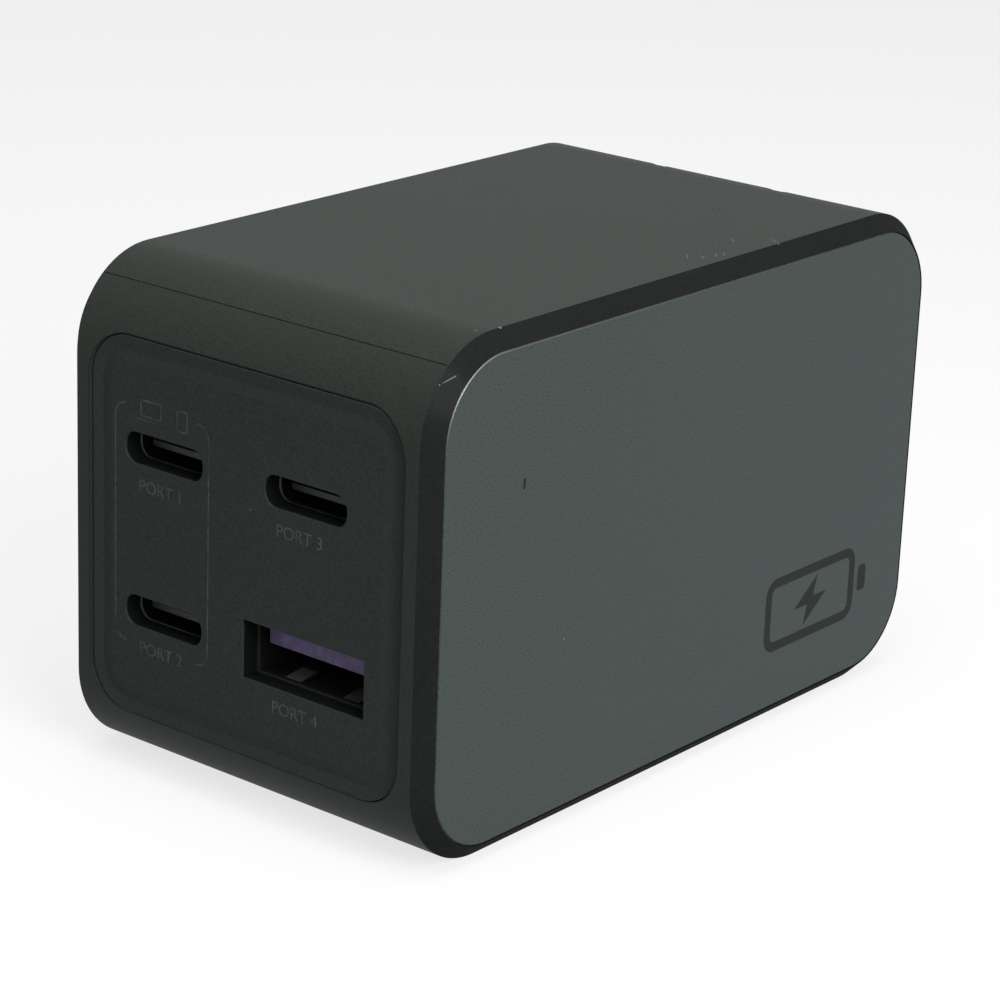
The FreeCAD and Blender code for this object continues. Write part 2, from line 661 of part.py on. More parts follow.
def usb_c_port(number_in_row, x, z):
    outer, inner = receptacle_tube("c", x, z)
    node(cut(outer, inner), f"usb_c_shell_{number_in_row}")
    low, high = f"{z} - c_tongue_height / 2", f"{z} + c_tongue_height / 2"
    outline = (
        ("port_rear", low), ("port_rear", high),
        ("c_tongue_front + c_nose_bevel", high), ("c_tongue_front", f"{high} - c_nose_bevel"),
        ("c_tongue_front", f"{low} + c_nose_bevel"), ("c_tongue_front + c_nose_bevel", low),
    )
    tongue = along_x(draw_polygon, (outline,), f"{x} - c_tongue_width / 2", f"{x} + c_tongue_width / 2")
    stop = port_stop("c", "c_opening_width / 2 - c_opening_radius", x, z)
    node(fuse(stop, tongue), f"usb_c_tongue_{number_in_row}")
    contacts = []
    for level in (-1, 1):
        face = f"{z} + {level} * c_tongue_height / 2"
        rise = ("0", "c_contact_height") if level > 0 else ("-c_contact_height", "0")
        for step in range(8):
            middle = f"{x} + {step - 3.5} * c_contact_pitch"
            contacts.append(box((f"{middle} - c_contact_width / 2", f"{middle} + c_contact_width / 2"),
                                ("port_stop_front - c_contact_length", "port_stop_front"),
                                (f"{face} + {rise[0]}", f"{face} + {rise[1]}")))
    node(group(*contacts), f"usb_c_contacts_{number_in_row}")


def spring_tab(x, z):
    """A tab cut from the shell's floor: it bends up behind the mouth, and its free end is inside."""
    floor = f"({z} - a_opening_height / 2 + port_reveal)"
    bend = "mouth + tab_setback"
    rear = f"{bend} + tab_length"
    outline = (
        (bend, f"{floor} - port_wall"),
        (rear, f"{floor} + tab_rise - port_wall"),
        (rear, f"{floor} + tab_rise"),
        (bend, floor),
    )
    tab = along_x(draw_polygon, (outline,), f"{x} - tab_width / 2", f"{x} + tab_width / 2")
    slit = box((f"{x} - tab_width / 2 - tab_slit", f"{x} + tab_width / 2 + tab_slit"),
               (bend, f"{rear} + tab_slit"), (f"{floor} - port_wall - tab_slit", f"{floor} + tab_slit"))
    return tab, slit


def usb_a_port(x, z):
    outer, inner = receptacle_tube("a", x, z)
    tabs, slits = zip(*(spring_tab(f"({x} + {side} * tab_spread)", z) for side in (-1, 1)))
    node(fuse(cut(outer, inner, *slits), *tabs), "usb_a_shell")
    tongue = box((f"{x} - a_tongue_width / 2", f"{x} + a_tongue_width / 2"), ("a_tongue_front", "port_rear"),
                 (z, f"{z} + a_tongue_height"))
    node(fuse(port_stop("a", "a_opening_width / 2 - port_reveal", x, z), tongue), "usb_a_tongue")
    contacts = []
    for step in range(4):
        middle = f"{x} + {step - 1.5} * a_contact_pitch"
        contacts.append(box((f"{middle} - a_contact_width / 2", f"{middle} + a_contact_width / 2"),
                            ("port_stop_front - a_contact_length", "port_stop_front"),
                            (f"{z} - a_contact_height", z)))
    node(group(*contacts), "usb_a_contacts")


def ports():
    count = 0
    for kind, x, z in port_spots():
        if kind == "a":
            usb_a_port(f"({x})", f"({z})")
        else:
            count += 1
            usb_c_port(count, f"({x})", f"({z})")


# Fold-away plug

def plug_blade(side, label):
    """A flat blade with a round root on the shaft, a bevelled tip and a hole, folded up."""
    half = "blade_width / 2"
    tip = "pivot_z + blade_length"
    outline = (
        (f"pivot_y - {half}", "pivot_z"),
        (f"pivot_y + {half}", "pivot_z"),
        (f"pivot_y + {half}", f"{tip} - tip_taper"),
        (f"pivot_y + {half} - tip_taper", tip),
        (f"pivot_y - {half} + tip_taper", tip),
        (f"pivot_y - {half}", f"{tip} - tip_taper"),
    )
    low = f"{side} * blade_x - blade_thickness / 2"
    strip = along_x(draw_polygon, (outline,), low, f"{side} * blade_x + blade_thickness / 2")
    root = rod("x", "root_radius", "blade_thickness", low, "pivot_y", "pivot_z")
    seat = rod("x", "shaft_radius", "blade_thickness + 2", f"{low} - 1", "pivot_y", "pivot_z")
    hole = rod("x", "tip_hole_radius", "blade_thickness + 2", f"{low} - 1", "pivot_y",
               f"{tip} - tip_hole_inset")
    return node(cut(fuse(strip, root), seat, hole), label)


def plug_shaft():
    """The round shaft, with a flat for each of its two positions."""
    shaft = rod("x", "shaft_radius", "2 * shaft_half", "-shaft_half", "pivot_y", "pivot_z")
    across = ("-detent_width / 2", "detent_width / 2")
    edge = "shaft_radius - shaft_flat"
    folded = box(across, ("pivot_y - 2 * shaft_radius", f"pivot_y - ({edge})"),
                 ("pivot_z - 2 * shaft_radius", "pivot_z + 2 * shaft_radius"))
    opened = box(across, ("pivot_y - 2 * shaft_radius", "pivot_y + 2 * shaft_radius"),
                 ("pivot_z - 2 * shaft_radius", f"pivot_z - ({edge})"))
    return node(cut(shaft, folded, opened), "plug_shaft")


def plug_retainer():
    """The plate that closes the shaft's seats: a tongue for each of the four walls, and slotted ears."""
    plate = box(("-retainer_half", "retainer_half"), ("retainer_front", "housing_front"),
                ("pivot_z - retainer_height / 2", "pivot_z + retainer_height / 2"))
    tongues = []
    slits = []
    for side in (-1, 1):
        middle = f"{side} * blade_x"
        for wall in (-1, 1):
            centre = f"{middle} + {wall} * (slot_width + slot_wall) / 2"
            tongues.append(box((f"{centre} - slot_wall / 2", f"{centre} + slot_wall / 2"),
                               ("housing_front - retainer_thickness / 2", "pivot_y - bore_radius"),
                               ("pivot_z - shaft_radius", "pivot_z + shaft_radius")))
        slits.append(box((f"{middle} - spring_tab_width / 2", f"{middle} + spring_tab_width / 2"),
                         ("retainer_front - 1", "housing_front + 1"),
                         ("pivot_z - spring_sheet / 2", "pivot_z + spring_sheet / 2")))
    reach = "screw_radius + screw_clear"
    through = ("retainer_front - 1", "housing_front + 1")
    rise = (f"pivot_z - ({reach})", f"pivot_z + {reach}")
    ears = [box(("-retainer_half - 1", f"-screw_x + {reach}"), through, rise),
            box((f"screw_x - ({reach})", "retainer_half + 1"), through, rise)]
    return node(cut(fuse(plate, *tongues), *slits, *ears), "plug_retainer")


def retainer_screws():
    screws = []
    for x, z in screw_places():
        reach = "back - shell_wall - screw_end - retainer_front"
        shank = rod("y", "screw_radius", reach, x, "retainer_front", z)
        head = rod("y", "screw_head_radius", "screw_head_height", x, "retainer_front - screw_head_height", z)
        screws.append(fuse(shank, head))
    return node(group(*screws), "retainer_screws")


def contact_spring(side, label):
    """A leaf beside the blade's root, with a tab through the retainer to the input wire."""
    middle = f"{side} * blade_x"
    leaf = box((f"{middle} - spring_tab_width / 2", f"{middle} + spring_tab_width / 2"),
               ("leaf_back - spring_sheet", "leaf_back"),
               ("pivot_z - spring_height / 2", "pivot_z + spring_height / 2"))
    tab = box((f"{middle} - spring_tab_width / 2", f"{middle} + spring_tab_width / 2"),
              ("tab_end", "leaf_back"), ("pivot_z - spring_sheet / 2", "pivot_z + spring_sheet / 2"))
    return node(fuse(leaf, tab), label)


def detent_spring():
    """A leaf on two feet, clear of the shaft's flat."""
    leaf_back = "pivot_y - shaft_radius - spring_gap"
    across = ("-detent_width / 2", "detent_width / 2")
    half = "retainer_height / 2 - detent_margin"
    leaf = box(across, (f"{leaf_back} - spring_sheet", leaf_back),
               (f"pivot_z - ({half})", f"pivot_z + {half}"))
    feet = [box(across, ("housing_front", leaf_back), (f"pivot_z + {level} * ({half}) - spring_sheet / 2",
                                                       f"pivot_z + {level} * ({half}) + spring_sheet / 2"))
            for level in (-1, 1)]
    return node(fuse(leaf, *feet), "detent_spring")


def input_wire(side, label):
    """A stiff wire that stands on the main board under a contact's tab."""
    level = "pivot_z - spring_sheet / 2 - board_top"
    return node(rod("z", "wire_radius", level, f"{side} * blade_x", "wire_y", "board_top"), label)


# Boards and what they carry

def boards():
    main = box(("-board_half", "board_half"), ("board_front", "board_rear"), ("board_bottom", "board_top"))
    node(main, "main_board")
    upright = box(("-board_half", "board_half"), ("port_rear", "port_board_rear"),
                  ("board_top", "ceiling - port_board_top"))
    node(upright, "port_board")


def heat_spreader():
    """A folded sheet over the main board's parts, standing on the board."""
    length = ("row_front", "row_front + spreader_length")
    outside = box(("-spreader_outer", "spreader_outer"), length,
                  ("board_top", "spreader_under + spreader_sheet"))
    inside = box(("-spreader_inner", "spreader_inner"), ("row_front - 1", "row_front + spreader_length + 1"),
                 ("board_top - 1", "spreader_under"))
    return node(cut(outside, inside), "heat_spreader")


def transformer():
    """An E-core transformer: a core with a square middle leg, a bobbin on pin rails and its winding."""
    def block(half_x, half_y, low, high):
        return box((f"core_x - ({half_x})", f"core_x + {half_x}"),
                   (f"core_y - ({half_y})", f"core_y + {half_y}"), (low, high))

    leg = ("core_leg / 2", "core_depth / 2")
    outside = block("core_width / 2", "core_depth / 2", "core_bottom", "core_top")
    room = block("window_half", "core_depth / 2 + 1", "window_bottom", "window_top")
    node(cut(outside, cut(room, block(*leg, "window_bottom", "window_top"))), "transformer_core")

    sleeve = block("sleeve_x", "sleeve_y", "window_bottom", "window_top")
    low_flange = block("flange_x", "flange_y", "window_bottom", "window_bottom + bobbin_wall")
    high_flange = block("flange_x", "flange_y", "window_top - bobbin_wall", "window_top")
    across = ("core_x - flange_x", "core_x + flange_x")
    rise = ("board_top", "window_bottom + bobbin_wall")
    rails = [box(across, ("core_y + core_depth / 2", "core_y + flange_y"), rise),
             box(across, ("core_y - flange_y", "core_y - core_depth / 2"), rise)]
    bore = block(*leg, "window_bottom - 1", "window_top + 1")
    node(cut(fuse(sleeve, low_flange, high_flange, *rails), bore), "transformer_bobbin")

    turns = block("flange_x - bobbin_wall / 2", "flange_y - bobbin_wall / 2", "window_bottom + bobbin_wall",
                  "window_top - bobbin_wall")
    middle = block("sleeve_x", "sleeve_y", "window_bottom", "window_top")
    node(cut(turns, middle), "transformer_winding")
    node(block("core_width / 2", "core_depth / 2", "core_top", "spreader_under"), "thermal_pad")


def can(radius, height, x, y, label):
    """An electrolytic capacitor standing on the board."""
    return node(rod("z", radius, height, x, y, "board_top"), label)


def standing(label, x, y, height):
    """A boxed part that stands on the main board."""
    return node(box(x, y, ("board_top", f"board_top + {height}")), label)


def choke():
    """A square core frame on the board, with a winding on each upright leg."""
    depth = ("choke_y - choke_thickness / 2", "choke_y + choke_thickness / 2")
    wound = ("choke_y - choke_thickness / 2 - choke_copper", "choke_y + choke_thickness / 2 + choke_copper")
    half = "choke_width / 2"
    window = ("board_top + choke_leg", "board_top + choke_height - choke_leg")
    frame = box((f"bulk_x - {half}", f"bulk_x + {half}"), depth, ("board_top", "board_top + choke_height"))
    hole = box((f"bulk_x - {half} + choke_leg", f"bulk_x + {half} - choke_leg"), wound, window)
    node(cut(frame, hole), "choke_core")
    windings = []
    for side in (-1, 1):
        leg = f"bulk_x + {side} * ({half} - choke_leg / 2)"
        reach = "(choke_leg / 2 + choke_copper)"
        turns = box((f"{leg} - {reach}", f"{leg} + {reach}"), wound, window)
        upright = box((f"{leg} - choke_leg / 2", f"{leg} + choke_leg / 2"), depth, window)
        windings.append(cut(turns, upright))
    node(group(*windings), "choke_windings")


def buck_inductor(side, label):
    """A square moulded inductor with cut corners, on the port board's back."""
    x = f"{side} * inductor_spread"
    z = "(middle + inductor_rise)"
    outline = ("inductor_side", "inductor_side", "inductor_bevel")
    block = along_y(draw_chamfered, outline, "port_board_rear", "port_board_rear + inductor_depth", x, z)
    return node(block, label)


def chips():
    half = "controller_side / 2"
    for i, level in enumerate((-1, 1), start=1):
        z = f"middle + inductor_rise + {level} * controller_rise"
        node(box((f"-{half}", half), ("port_board_rear", "port_board_rear + chip_height"),
                 (f"{z} - {half}", f"{z} + {half}")), f"port_controller_{i}")
    under = ("board_bottom - chip_height", "board_bottom")
    for label, width, length, side in (("power_switch", "switch_width", "switch_length", 1),
                                       ("sync_rectifier", "rectifier_width", "rectifier_length", -1)):
        y = f"core_y + {side} * chip_spacing / 2"
        node(box((f"-{width} / 2", f"{width} / 2"), (f"{y} - {length} / 2", f"{y} + {length} / 2"), under),
             label)


def floor_insulation():
    """A film on the shell's floor, and a soft pad from it to the chips under the board."""
    half = "board_half - rail_width - part_gap"
    along = ("port_board_rear", "board_rear")
    node(box((f"-({half})", half), along, ("shell_wall", "shell_wall + film_thickness")), "insulation_film")
    reach = "chip_spacing / 2 + switch_length / 2"
    node(box(("-switch_width / 2", "switch_width / 2"), (f"core_y - ({reach})", f"core_y + {reach}"),
             ("shell_wall + film_thickness", "board_bottom - chip_height")), "board_pad")


def electronics():
    boards()
    heat_spreader()
    transformer()
    for i in (1, 2):
        y = f"row_front + {2 * i - 1} * bulk_radius + {i - 1} * part_gap"
        can("bulk_radius", "bulk_height", "bulk_x", y, f"bulk_capacitor_{i}")
    standing("x_capacitor", ("core_left", "core_left + x_capacitor_width"),
             ("rear_row", "rear_row + x_capacitor_depth"), "x_capacitor_height")
    choke()
    beside_bridge = "core_left + bridge_width + part_gap"
    standing("y_capacitor", (beside_bridge, f"{beside_bridge} + y_capacitor_width"),
             ("bridge_y", "bridge_y + y_capacitor_depth"), "y_capacitor_height")
    standing("fuse", ("core_left", "core_left + fuse_width"), ("fuse_y", "fuse_y + fuse_depth"),
             "fuse_height")
    standing("bridge_rectifier", ("core_left", "core_left + bridge_width"),
             ("bridge_y", "bridge_y + bridge_depth"), "bridge_height")
    near_ports = "port_board_rear + part_gap"
    standing("optocoupler", ("core_left", "core_left + optocoupler_width"),
             (near_ports, f"{near_ports} + optocoupler_depth"), "optocoupler_height")
    for i in (1, 2):
        x = f"core_left + optocoupler_width + part_gap + output_radius + {i - 1} * output_spacing"
        can("output_radius", "output_height", x, f"{near_ports} + output_radius", f"output_capacitor_{i}")
    buck_inductor(-1, "buck_inductor_1")
    buck_inductor(1, "buck_inductor_2")
    chips()
    floor_insulation()


def fold_away_plug():
    plug_shaft()
    plug_retainer()
    retainer_screws()
    detent_spring()
    for side, word in ((-1, "left"), (1, "right")):
        plug_blade(side, f"plug_blade_{word}")
        contact_spring(side, f"contact_spring_{word}")
        input_wire(side, f"input_wire_{word}")


def write_parts():
    """Stop at anything that failed, then write one file for each piece."""
    doc.recompute()
    for item in doc.Objects:
        if "Invalid" in item.State or "Error" in item.State:
            raise RuntimeError(f"{item.Label} ({item.Name}) failed: {item.State}")
    for item in NODES:
        if item.Shape.isNull() or not item.Shape.isValid() or not item.Shape.Solids:
            raise RuntimeError(f"{item.Label} has no valid solid")
    os.makedirs("parts", exist_ok=True)
    for item in NODES:
        item.Shape.exportStep(f"parts/{item.Label}.step")


fill_sheets()
main_shell()
front_cover()
port_panel()
for hand, word in ((-1, "left"), (1, "right")):
    side_bezel(hand, f"side_bezel_{word}")
    side_panel(hand, f"side_panel_{word}")
ports()
fold_away_plug()
electronics()
write_parts()
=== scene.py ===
from math import radians

import bmesh
import bpy
from bpy.props import FloatProperty, FloatVectorProperty, PointerProperty
from bpy.types import Operator, Panel, PropertyGroup
from mathutils import Matrix, Vector


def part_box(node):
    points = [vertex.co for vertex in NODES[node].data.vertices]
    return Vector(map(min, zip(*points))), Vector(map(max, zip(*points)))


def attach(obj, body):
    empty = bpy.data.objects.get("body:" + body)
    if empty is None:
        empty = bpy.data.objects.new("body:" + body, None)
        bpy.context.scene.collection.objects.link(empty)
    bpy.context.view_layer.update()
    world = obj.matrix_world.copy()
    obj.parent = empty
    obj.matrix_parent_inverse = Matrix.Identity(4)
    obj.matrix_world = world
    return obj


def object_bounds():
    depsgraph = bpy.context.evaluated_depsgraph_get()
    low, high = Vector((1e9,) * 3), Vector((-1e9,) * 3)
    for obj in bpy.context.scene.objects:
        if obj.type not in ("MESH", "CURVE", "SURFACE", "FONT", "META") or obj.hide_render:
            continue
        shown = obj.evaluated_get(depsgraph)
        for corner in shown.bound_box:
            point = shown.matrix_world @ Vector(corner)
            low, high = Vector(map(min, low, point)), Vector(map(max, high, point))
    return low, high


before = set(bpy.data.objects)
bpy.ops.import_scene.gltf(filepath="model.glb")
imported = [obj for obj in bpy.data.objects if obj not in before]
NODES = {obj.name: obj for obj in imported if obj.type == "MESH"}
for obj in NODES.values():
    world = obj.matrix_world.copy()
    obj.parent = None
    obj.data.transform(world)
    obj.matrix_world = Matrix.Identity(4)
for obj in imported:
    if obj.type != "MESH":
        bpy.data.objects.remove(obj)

bl_info = {
    "name": "Charging Block Dresser",
    "version": (1, 0, 0),
    "blender": (4, 5, 0),
    "location": "View3D > Sidebar > Charger",
    "description": "Finishes, print, wear and studio for a charging block with a fold-away plug",
    "category": "Object",
}

CAD_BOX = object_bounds()
MM = 0.001
HOUSING = "housing"
FRONT_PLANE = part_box("port_panel")[0].y
SIDE_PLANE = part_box("side_panel_right")[1].x

# Noise in the shader groups, per metre
CLOUD_NOISE = 70.0
CHIP_NOISE = 7000.0
SCRATCH_NOISE = 4000.0

# Levels and sizes on the block, in millimetres
TOP = 42.0
PLATE = 19.0
PANEL_GAP = 0.1
WINDOW_ROUNDING = 3.9
# Width of the painted shade line in the gap round the port panel
JOINT_SHADE_WIDTH = 0.09
PAST_BOTH_ENDS = 1000.0

# Fineness of the printed marks
CORNER_SEGMENTS = 6
MERGE_WITHIN = 1e-7

# Lamps: name, place, size and the setting that holds the power
LAMPS = (("key_light", (0.05, -0.07, 0.42), 0.40, "key"), ("side_light", (0.40, -0.14, 0.24), 0.30, "fill"))
LIT_SPOT = Vector((0, 0, 0.02))
FLOOR_REACH = 3.0
FLOOR_DROP = 0.05 * MM
SENSOR_WIDTH = 36
NEAREST_SEEN = 0.01


def colour(name, text, default):
    """A colour property in linear light."""
    return FloatVectorProperty(name=name, description=text, subtype="COLOR", size=3, min=0, max=1,
                               default=default)


def length(name, text, default):
    """A length property in metres, with its default given in millimetres."""
    return FloatProperty(name=name, description=text, unit="LENGTH", min=0, precision=5, default=default * MM)


def share(name, text, default):
    """A property from 0 to 1."""
    return FloatProperty(name=name, description=text, subtype="FACTOR", min=0, max=1, default=default)


def power(name, text, default):
    """The power of a lamp."""
    return FloatProperty(name=name, description=text, unit="POWER", default=default)


class ChargerFinish(PropertyGroup):
    """Colours and gloss of the outside."""
    shell: colour("Shell", "Matte black moulding of the housing and its front", (0.0208, 0.0264, 0.0226))
    panel: colour("Port panel", "Matte black panel with the ports", (0.0306, 0.0362, 0.0350))
    rim: colour("Rim", "Polished black rim round each side plate", (0.0126, 0.0142, 0.0137))
    plate: colour("Side plate", "Gunmetal paint of the side plates", (0.0446, 0.0570, 0.0545))
    mark: colour("Side mark", "Dark print on the side plate", (0.0075, 0.0108, 0.0102))
    print: colour("Port print", "Grey print on the port panel", (0.064, 0.071, 0.070))
    tongue: colour("Wide port tongue", "Violet moulding in the wide port", (0.135, 0.108, 0.215))
    shell_gloss: share("Shell roughness", "Roughness of the matte moulding", 0.58)
    plate_gloss: share("Plate roughness", "Roughness of the painted plates", 0.46)
    rim_gloss: share("Rim roughness", "Roughness of the polished rims", 0.2)


class ChargerPrint(PropertyGroup):
    """Sizes of the printed marks."""
    film: length("Ink", "Thickness of the printed ink", 0.008)
    line: length("Line", "Width of the thin printed lines", 0.13)
    label: length("Label height", "Size of the lettering under a port", 1.45)
    side_line: length("Side line", "Width of the lines in the side mark", 0.85)


class ChargerStage(PropertyGroup):
    """Camera and light."""
    camera: FloatVectorProperty(name="Camera", description="Place of the camera", subtype="TRANSLATION",
                                unit="LENGTH", default=(0.164398, -0.207216, 0.109093))
    turn: FloatVectorProperty(name="Turn", description="Turn of the camera", subtype="EULER", unit="ROTATION",
                              default=(radians(71.0408), radians(-2.0945), radians(39.3479)))
    lens: FloatProperty(name="Lens", description="Focal length on a 36 mm sensor", unit="CAMERA",
                        default=119.68)
    key: power("Key light", "Power of the broad light overhead", 1.27)
    fill: power("Side light", "Power of the light at the right", 2.25)
    sky: share("Sky", "Strength of the even light all round", 0.20)
    floor: colour("Floor", "White floor, as the camera sees it", (0.92, 0.92, 0.92))
    bounce: colour("Bounce", "The same floor for the light that it throws back", (0.50, 0.50, 0.50))
    paper: share("Paper white", "How far the floor shows white by itself", 0.74)


# Shader nodes

def new_group(name, inputs, outputs):
    """An empty shader group with named sockets, and its two end nodes."""
    tree = bpy.data.node_groups.new(name, "ShaderNodeTree")
    for label, kind, value in inputs:
        socket = tree.interface.new_socket(label, in_out="INPUT", socket_type="NodeSocket" + kind)
        if value is not None:
            socket.default_value = value
    for label, kind in outputs:
        tree.interface.new_socket(label, in_out="OUTPUT", socket_type="NodeSocket" + kind)
    return tree, tree.nodes.new("NodeGroupInput").outputs, tree.nodes.new("NodeGroupOutput").inputs


def mask_group(name, *inputs):
    """An empty shader group that gives a mask."""
    tree, given, out = new_group(name, inputs, (("Mask", "Float"),))
    return tree, given, out["Mask"]


def feed(tree, socket, value):
    """Links a socket, or sets it to a plain value."""
    if isinstance(value, bpy.types.NodeSocket):
        tree.links.new(value, socket)
    else:
        socket.default_value = value


def math(tree, operation, *values, clamp=False):
    """A Math node fed by sockets or numbers."""
    made = tree.nodes.new("ShaderNodeMath")
    made.operation = operation
    made.use_clamp = clamp
    for socket, value in zip(made.inputs, values):
        feed(tree, socket, value)
    return made.outputs[0]


def vector_math(tree, operation, *values, result="Vector"):
    """A Vector Math node fed by sockets or vectors."""
    made = tree.nodes.new("ShaderNodeVectorMath")
    made.operation = operation
    for socket, value in zip(made.inputs, values):
        feed(tree, socket, value)
    return made.outputs[result]


def scaled(tree, vector, factor):
    """A vector or colour times a number."""
    made = tree.nodes.new("ShaderNodeVectorMath")
    made.operation = "SCALE"
    tree.links.new(vector, made.inputs[0])
    tree.links.new(factor, made.inputs["Scale"])
    return made.outputs["Vector"]


def axes(tree, vector):
    """A vector's X, Y and Z."""
    made = tree.nodes.new("ShaderNodeSeparateXYZ")
    tree.links.new(vector, made.inputs[0])
    return made.outputs


def noise(tree, vector, scale, detail=2.0):
    """A Noise Texture's value."""
    made = tree.nodes.new("ShaderNodeTexNoise")
    made.inputs["Detail"].default_value = detail
    tree.links.new(vector, made.inputs["Vector"])
    feed(tree, made.inputs["Scale"], scale)
    return made.outputs["Fac"]


def blend(tree, amount, low, high):
    """A colour between two, by a mask."""
    made = tree.nodes.new("ShaderNodeMix")
    made.data_type = "RGBA"
    for label, value in (("Factor_Float", amount), ("A_Color", low), ("B_Color", high)):
        socket = next(s for s in made.inputs if s.identifier == label)
        feed(tree, socket, value if isinstance(value, bpy.types.NodeSocket) else (*value, 1))
    return next(s for s in made.outputs if s.identifier == "Result_Color")


def shown(tree):
    """1 for the rays that show a surface to the camera, also in metal and through glass."""
    path = tree.nodes.new("ShaderNodeLightPath").outputs
    return math(tree, "ADD", math(tree, "ADD", path["Is Camera Ray"], path["Is Glossy Ray"]),
                path["Is Transmission Ray"], clamp=True)


# Shader groups

def surface_group():
    """Moulded or painted surface: fine grain, slow clouding, and what both do to colour, gloss and relief."""
    tree, given, out = new_group(
        "surface_grain",
        (("Vector", "Vector", None), ("Color", "Color", (0.5, 0.5, 0.5, 1)), ("Roughness", "Float", 0.5),
         ("Grain per metre", "Float", 5000.0), ("Grain tone", "Float", 0.2), ("Cloud tone", "Float", 0.1)),
        (("Color", "Color"), ("Roughness", "Float"), ("Height", "Float")))
    rougher_where_paler = 0.35
    grain = noise(tree, given["Vector"], given["Grain per metre"])
    cloud = noise(tree, given["Vector"], CLOUD_NOISE, detail=3.0)
    lift = math(tree, "ADD",
                math(tree, "MULTIPLY", math(tree, "SUBTRACT", grain, 0.5), given["Grain tone"]),
                math(tree, "MULTIPLY", math(tree, "SUBTRACT", cloud, 0.5), given["Cloud tone"]))
    tree.links.new(scaled(tree, given["Color"], math(tree, "ADD", lift, 1.0)), out["Color"])
    change = math(tree, "MULTIPLY", lift, rougher_where_paler)
    tree.links.new(math(tree, "ADD", given["Roughness"], change, clamp=True), out["Roughness"])
    tree.links.new(grain, out["Height"])


def speck_group():
    """A small chip or speck at one place."""
    tree, given, out = mask_group("speck", ("Vector", "Vector", None), ("Place", "Vector", None),
                                  ("Radius", "Float", 0.0002))
    solid_part = 0.55
    away = vector_math(tree, "DISTANCE", given["Vector"], given["Place"], result="Value")
    ragged = math(tree, "MULTIPLY", noise(tree, given["Vector"], CHIP_NOISE), given["Radius"])
    edge = math(tree, "ADD", math(tree, "MULTIPLY", given["Radius"], solid_part), ragged)
    tree.links.new(math(tree, "LESS_THAN", away, edge), out)


def scratch_group():
    """A thin scratch between two places."""
    tree, given, out = mask_group("scratch", ("Vector", "Vector", None), ("Start", "Vector", None),
                                  ("End", "Vector", None), ("Width", "Float", 0.0001))
    run = vector_math(tree, "SUBTRACT", given["End"], given["Start"])
    off = vector_math(tree, "SUBTRACT", given["Vector"], given["Start"])
    along = math(tree, "DIVIDE", vector_math(tree, "DOT_PRODUCT", off, run, result="Value"),
                 vector_math(tree, "DOT_PRODUCT", run, run, result="Value"), clamp=True)
    away = vector_math(tree, "DISTANCE", off, scaled(tree, run, along), result="Value")
    ragged = math(tree, "MULTIPLY", noise(tree, given["Vector"], SCRATCH_NOISE), given["Width"])
    tree.links.new(math(tree, "LESS_THAN", away, ragged), out)


def recess_shade_group():
    """A mask of what lies behind a level along Y, fading in over a short way, used to paint shade into
    recesses.
    """
    tree, given, out = mask_group("behind", ("Vector", "Vector", None), ("Level", "Float", 0.0),
                                  ("Over", "Float", 0.0001))
    past = math(tree, "SUBTRACT", axes(tree, given["Vector"])["Y"], given["Level"])
    tree.links.new(math(tree, "DIVIDE", past, given["Over"], clamp=True), out)


def edge_highlight_group():
    """The upper part of the broken edge of a plate that faces along X, for a painted highlight: the more it
    faces up, the stronger.
    """
    tree, given, out = mask_group("edge", ("Normal", "Vector", None))
    flat_facing, upward_gain = 0.95, 1.6
    facing = axes(tree, given["Normal"])
    sloped = math(tree, "LESS_THAN", math(tree, "ABSOLUTE", facing["X"]), flat_facing)
    upward = math(tree, "MULTIPLY", facing["Z"], upward_gain)
    tree.links.new(math(tree, "MULTIPLY", sloped, upward, clamp=True), out)


def near_group():
    """Full at one place, fading out towards a radius. It sets where painted light falls."""
    tree, given, out = mask_group("near", ("Vector", "Vector", None), ("Place", "Vector", None),
                                  ("Radius", "Float", 0.01))
    away = vector_math(tree, "DISTANCE", given["Vector"], given["Place"], result="Value")
    faded = math(tree, "DIVIDE", away, given["Radius"])
    tree.links.new(math(tree, "SUBTRACT", 1.0, faded, clamp=True), out)


def glint_patch_group():
    """All that lies in a box round one place. It places painted glints."""
    tree, given, out = mask_group("patch", ("Vector", "Vector", None), ("Place", "Vector", None),
                                  ("Half", "Vector", None))
    away = vector_math(tree, "ABSOLUTE", vector_math(tree, "SUBTRACT", given["Vector"], given["Place"]))
    room = axes(tree, vector_math(tree, "SUBTRACT", given["Half"], away))
    inside = math(tree, "MINIMUM", math(tree, "MINIMUM", room["X"], room["Y"]), room["Z"])
    tree.links.new(math(tree, "GREATER_THAN", inside, 0.0), out)


def joint_shade_group():
    """A line just outside a rounded window that faces along Y, used to paint the shade in the gap round the
    window. Half is its half size less the corner.
    """
    tree, given, out = mask_group("joint", ("Vector", "Vector", None), ("Centre", "Vector", None),
                                  ("Half", "Vector", None), ("Corner", "Float", 0.004),
                                  ("Width", "Float", 0.0001))
    clear_of_wall = 0.005 * MM
    offset = vector_math(tree, "SUBTRACT", given["Vector"], given["Centre"])
    past = vector_math(tree, "SUBTRACT", vector_math(tree, "ABSOLUTE", offset), given["Half"])
    beyond = vector_math(tree, "MAXIMUM", past, (0, 0, 0))
    away = math(tree, "SUBTRACT", vector_math(tree, "LENGTH", beyond, result="Value"), given["Corner"])
    tree.links.new(math(tree, "MULTIPLY", math(tree, "GREATER_THAN", away, clear_of_wall),
                        math(tree, "LESS_THAN", away, given["Width"])), out)


def worn_group():
    """Print rubbed away in places."""
    tree, given, out = mask_group("worn", ("Vector", "Vector", None), ("Rubs per metre", "Float", 250.0),
                                  ("Share", "Float", 0.5))
    sharpness = 7.0
    over = math(tree, "SUBTRACT", noise(tree, given["Vector"], given["Rubs per metre"], detail=4.0),
                math(tree, "SUBTRACT", 1.0, given["Share"]))
    tree.links.new(math(tree, "MULTIPLY", over, sharpness, clamp=True), out)


# Finishes

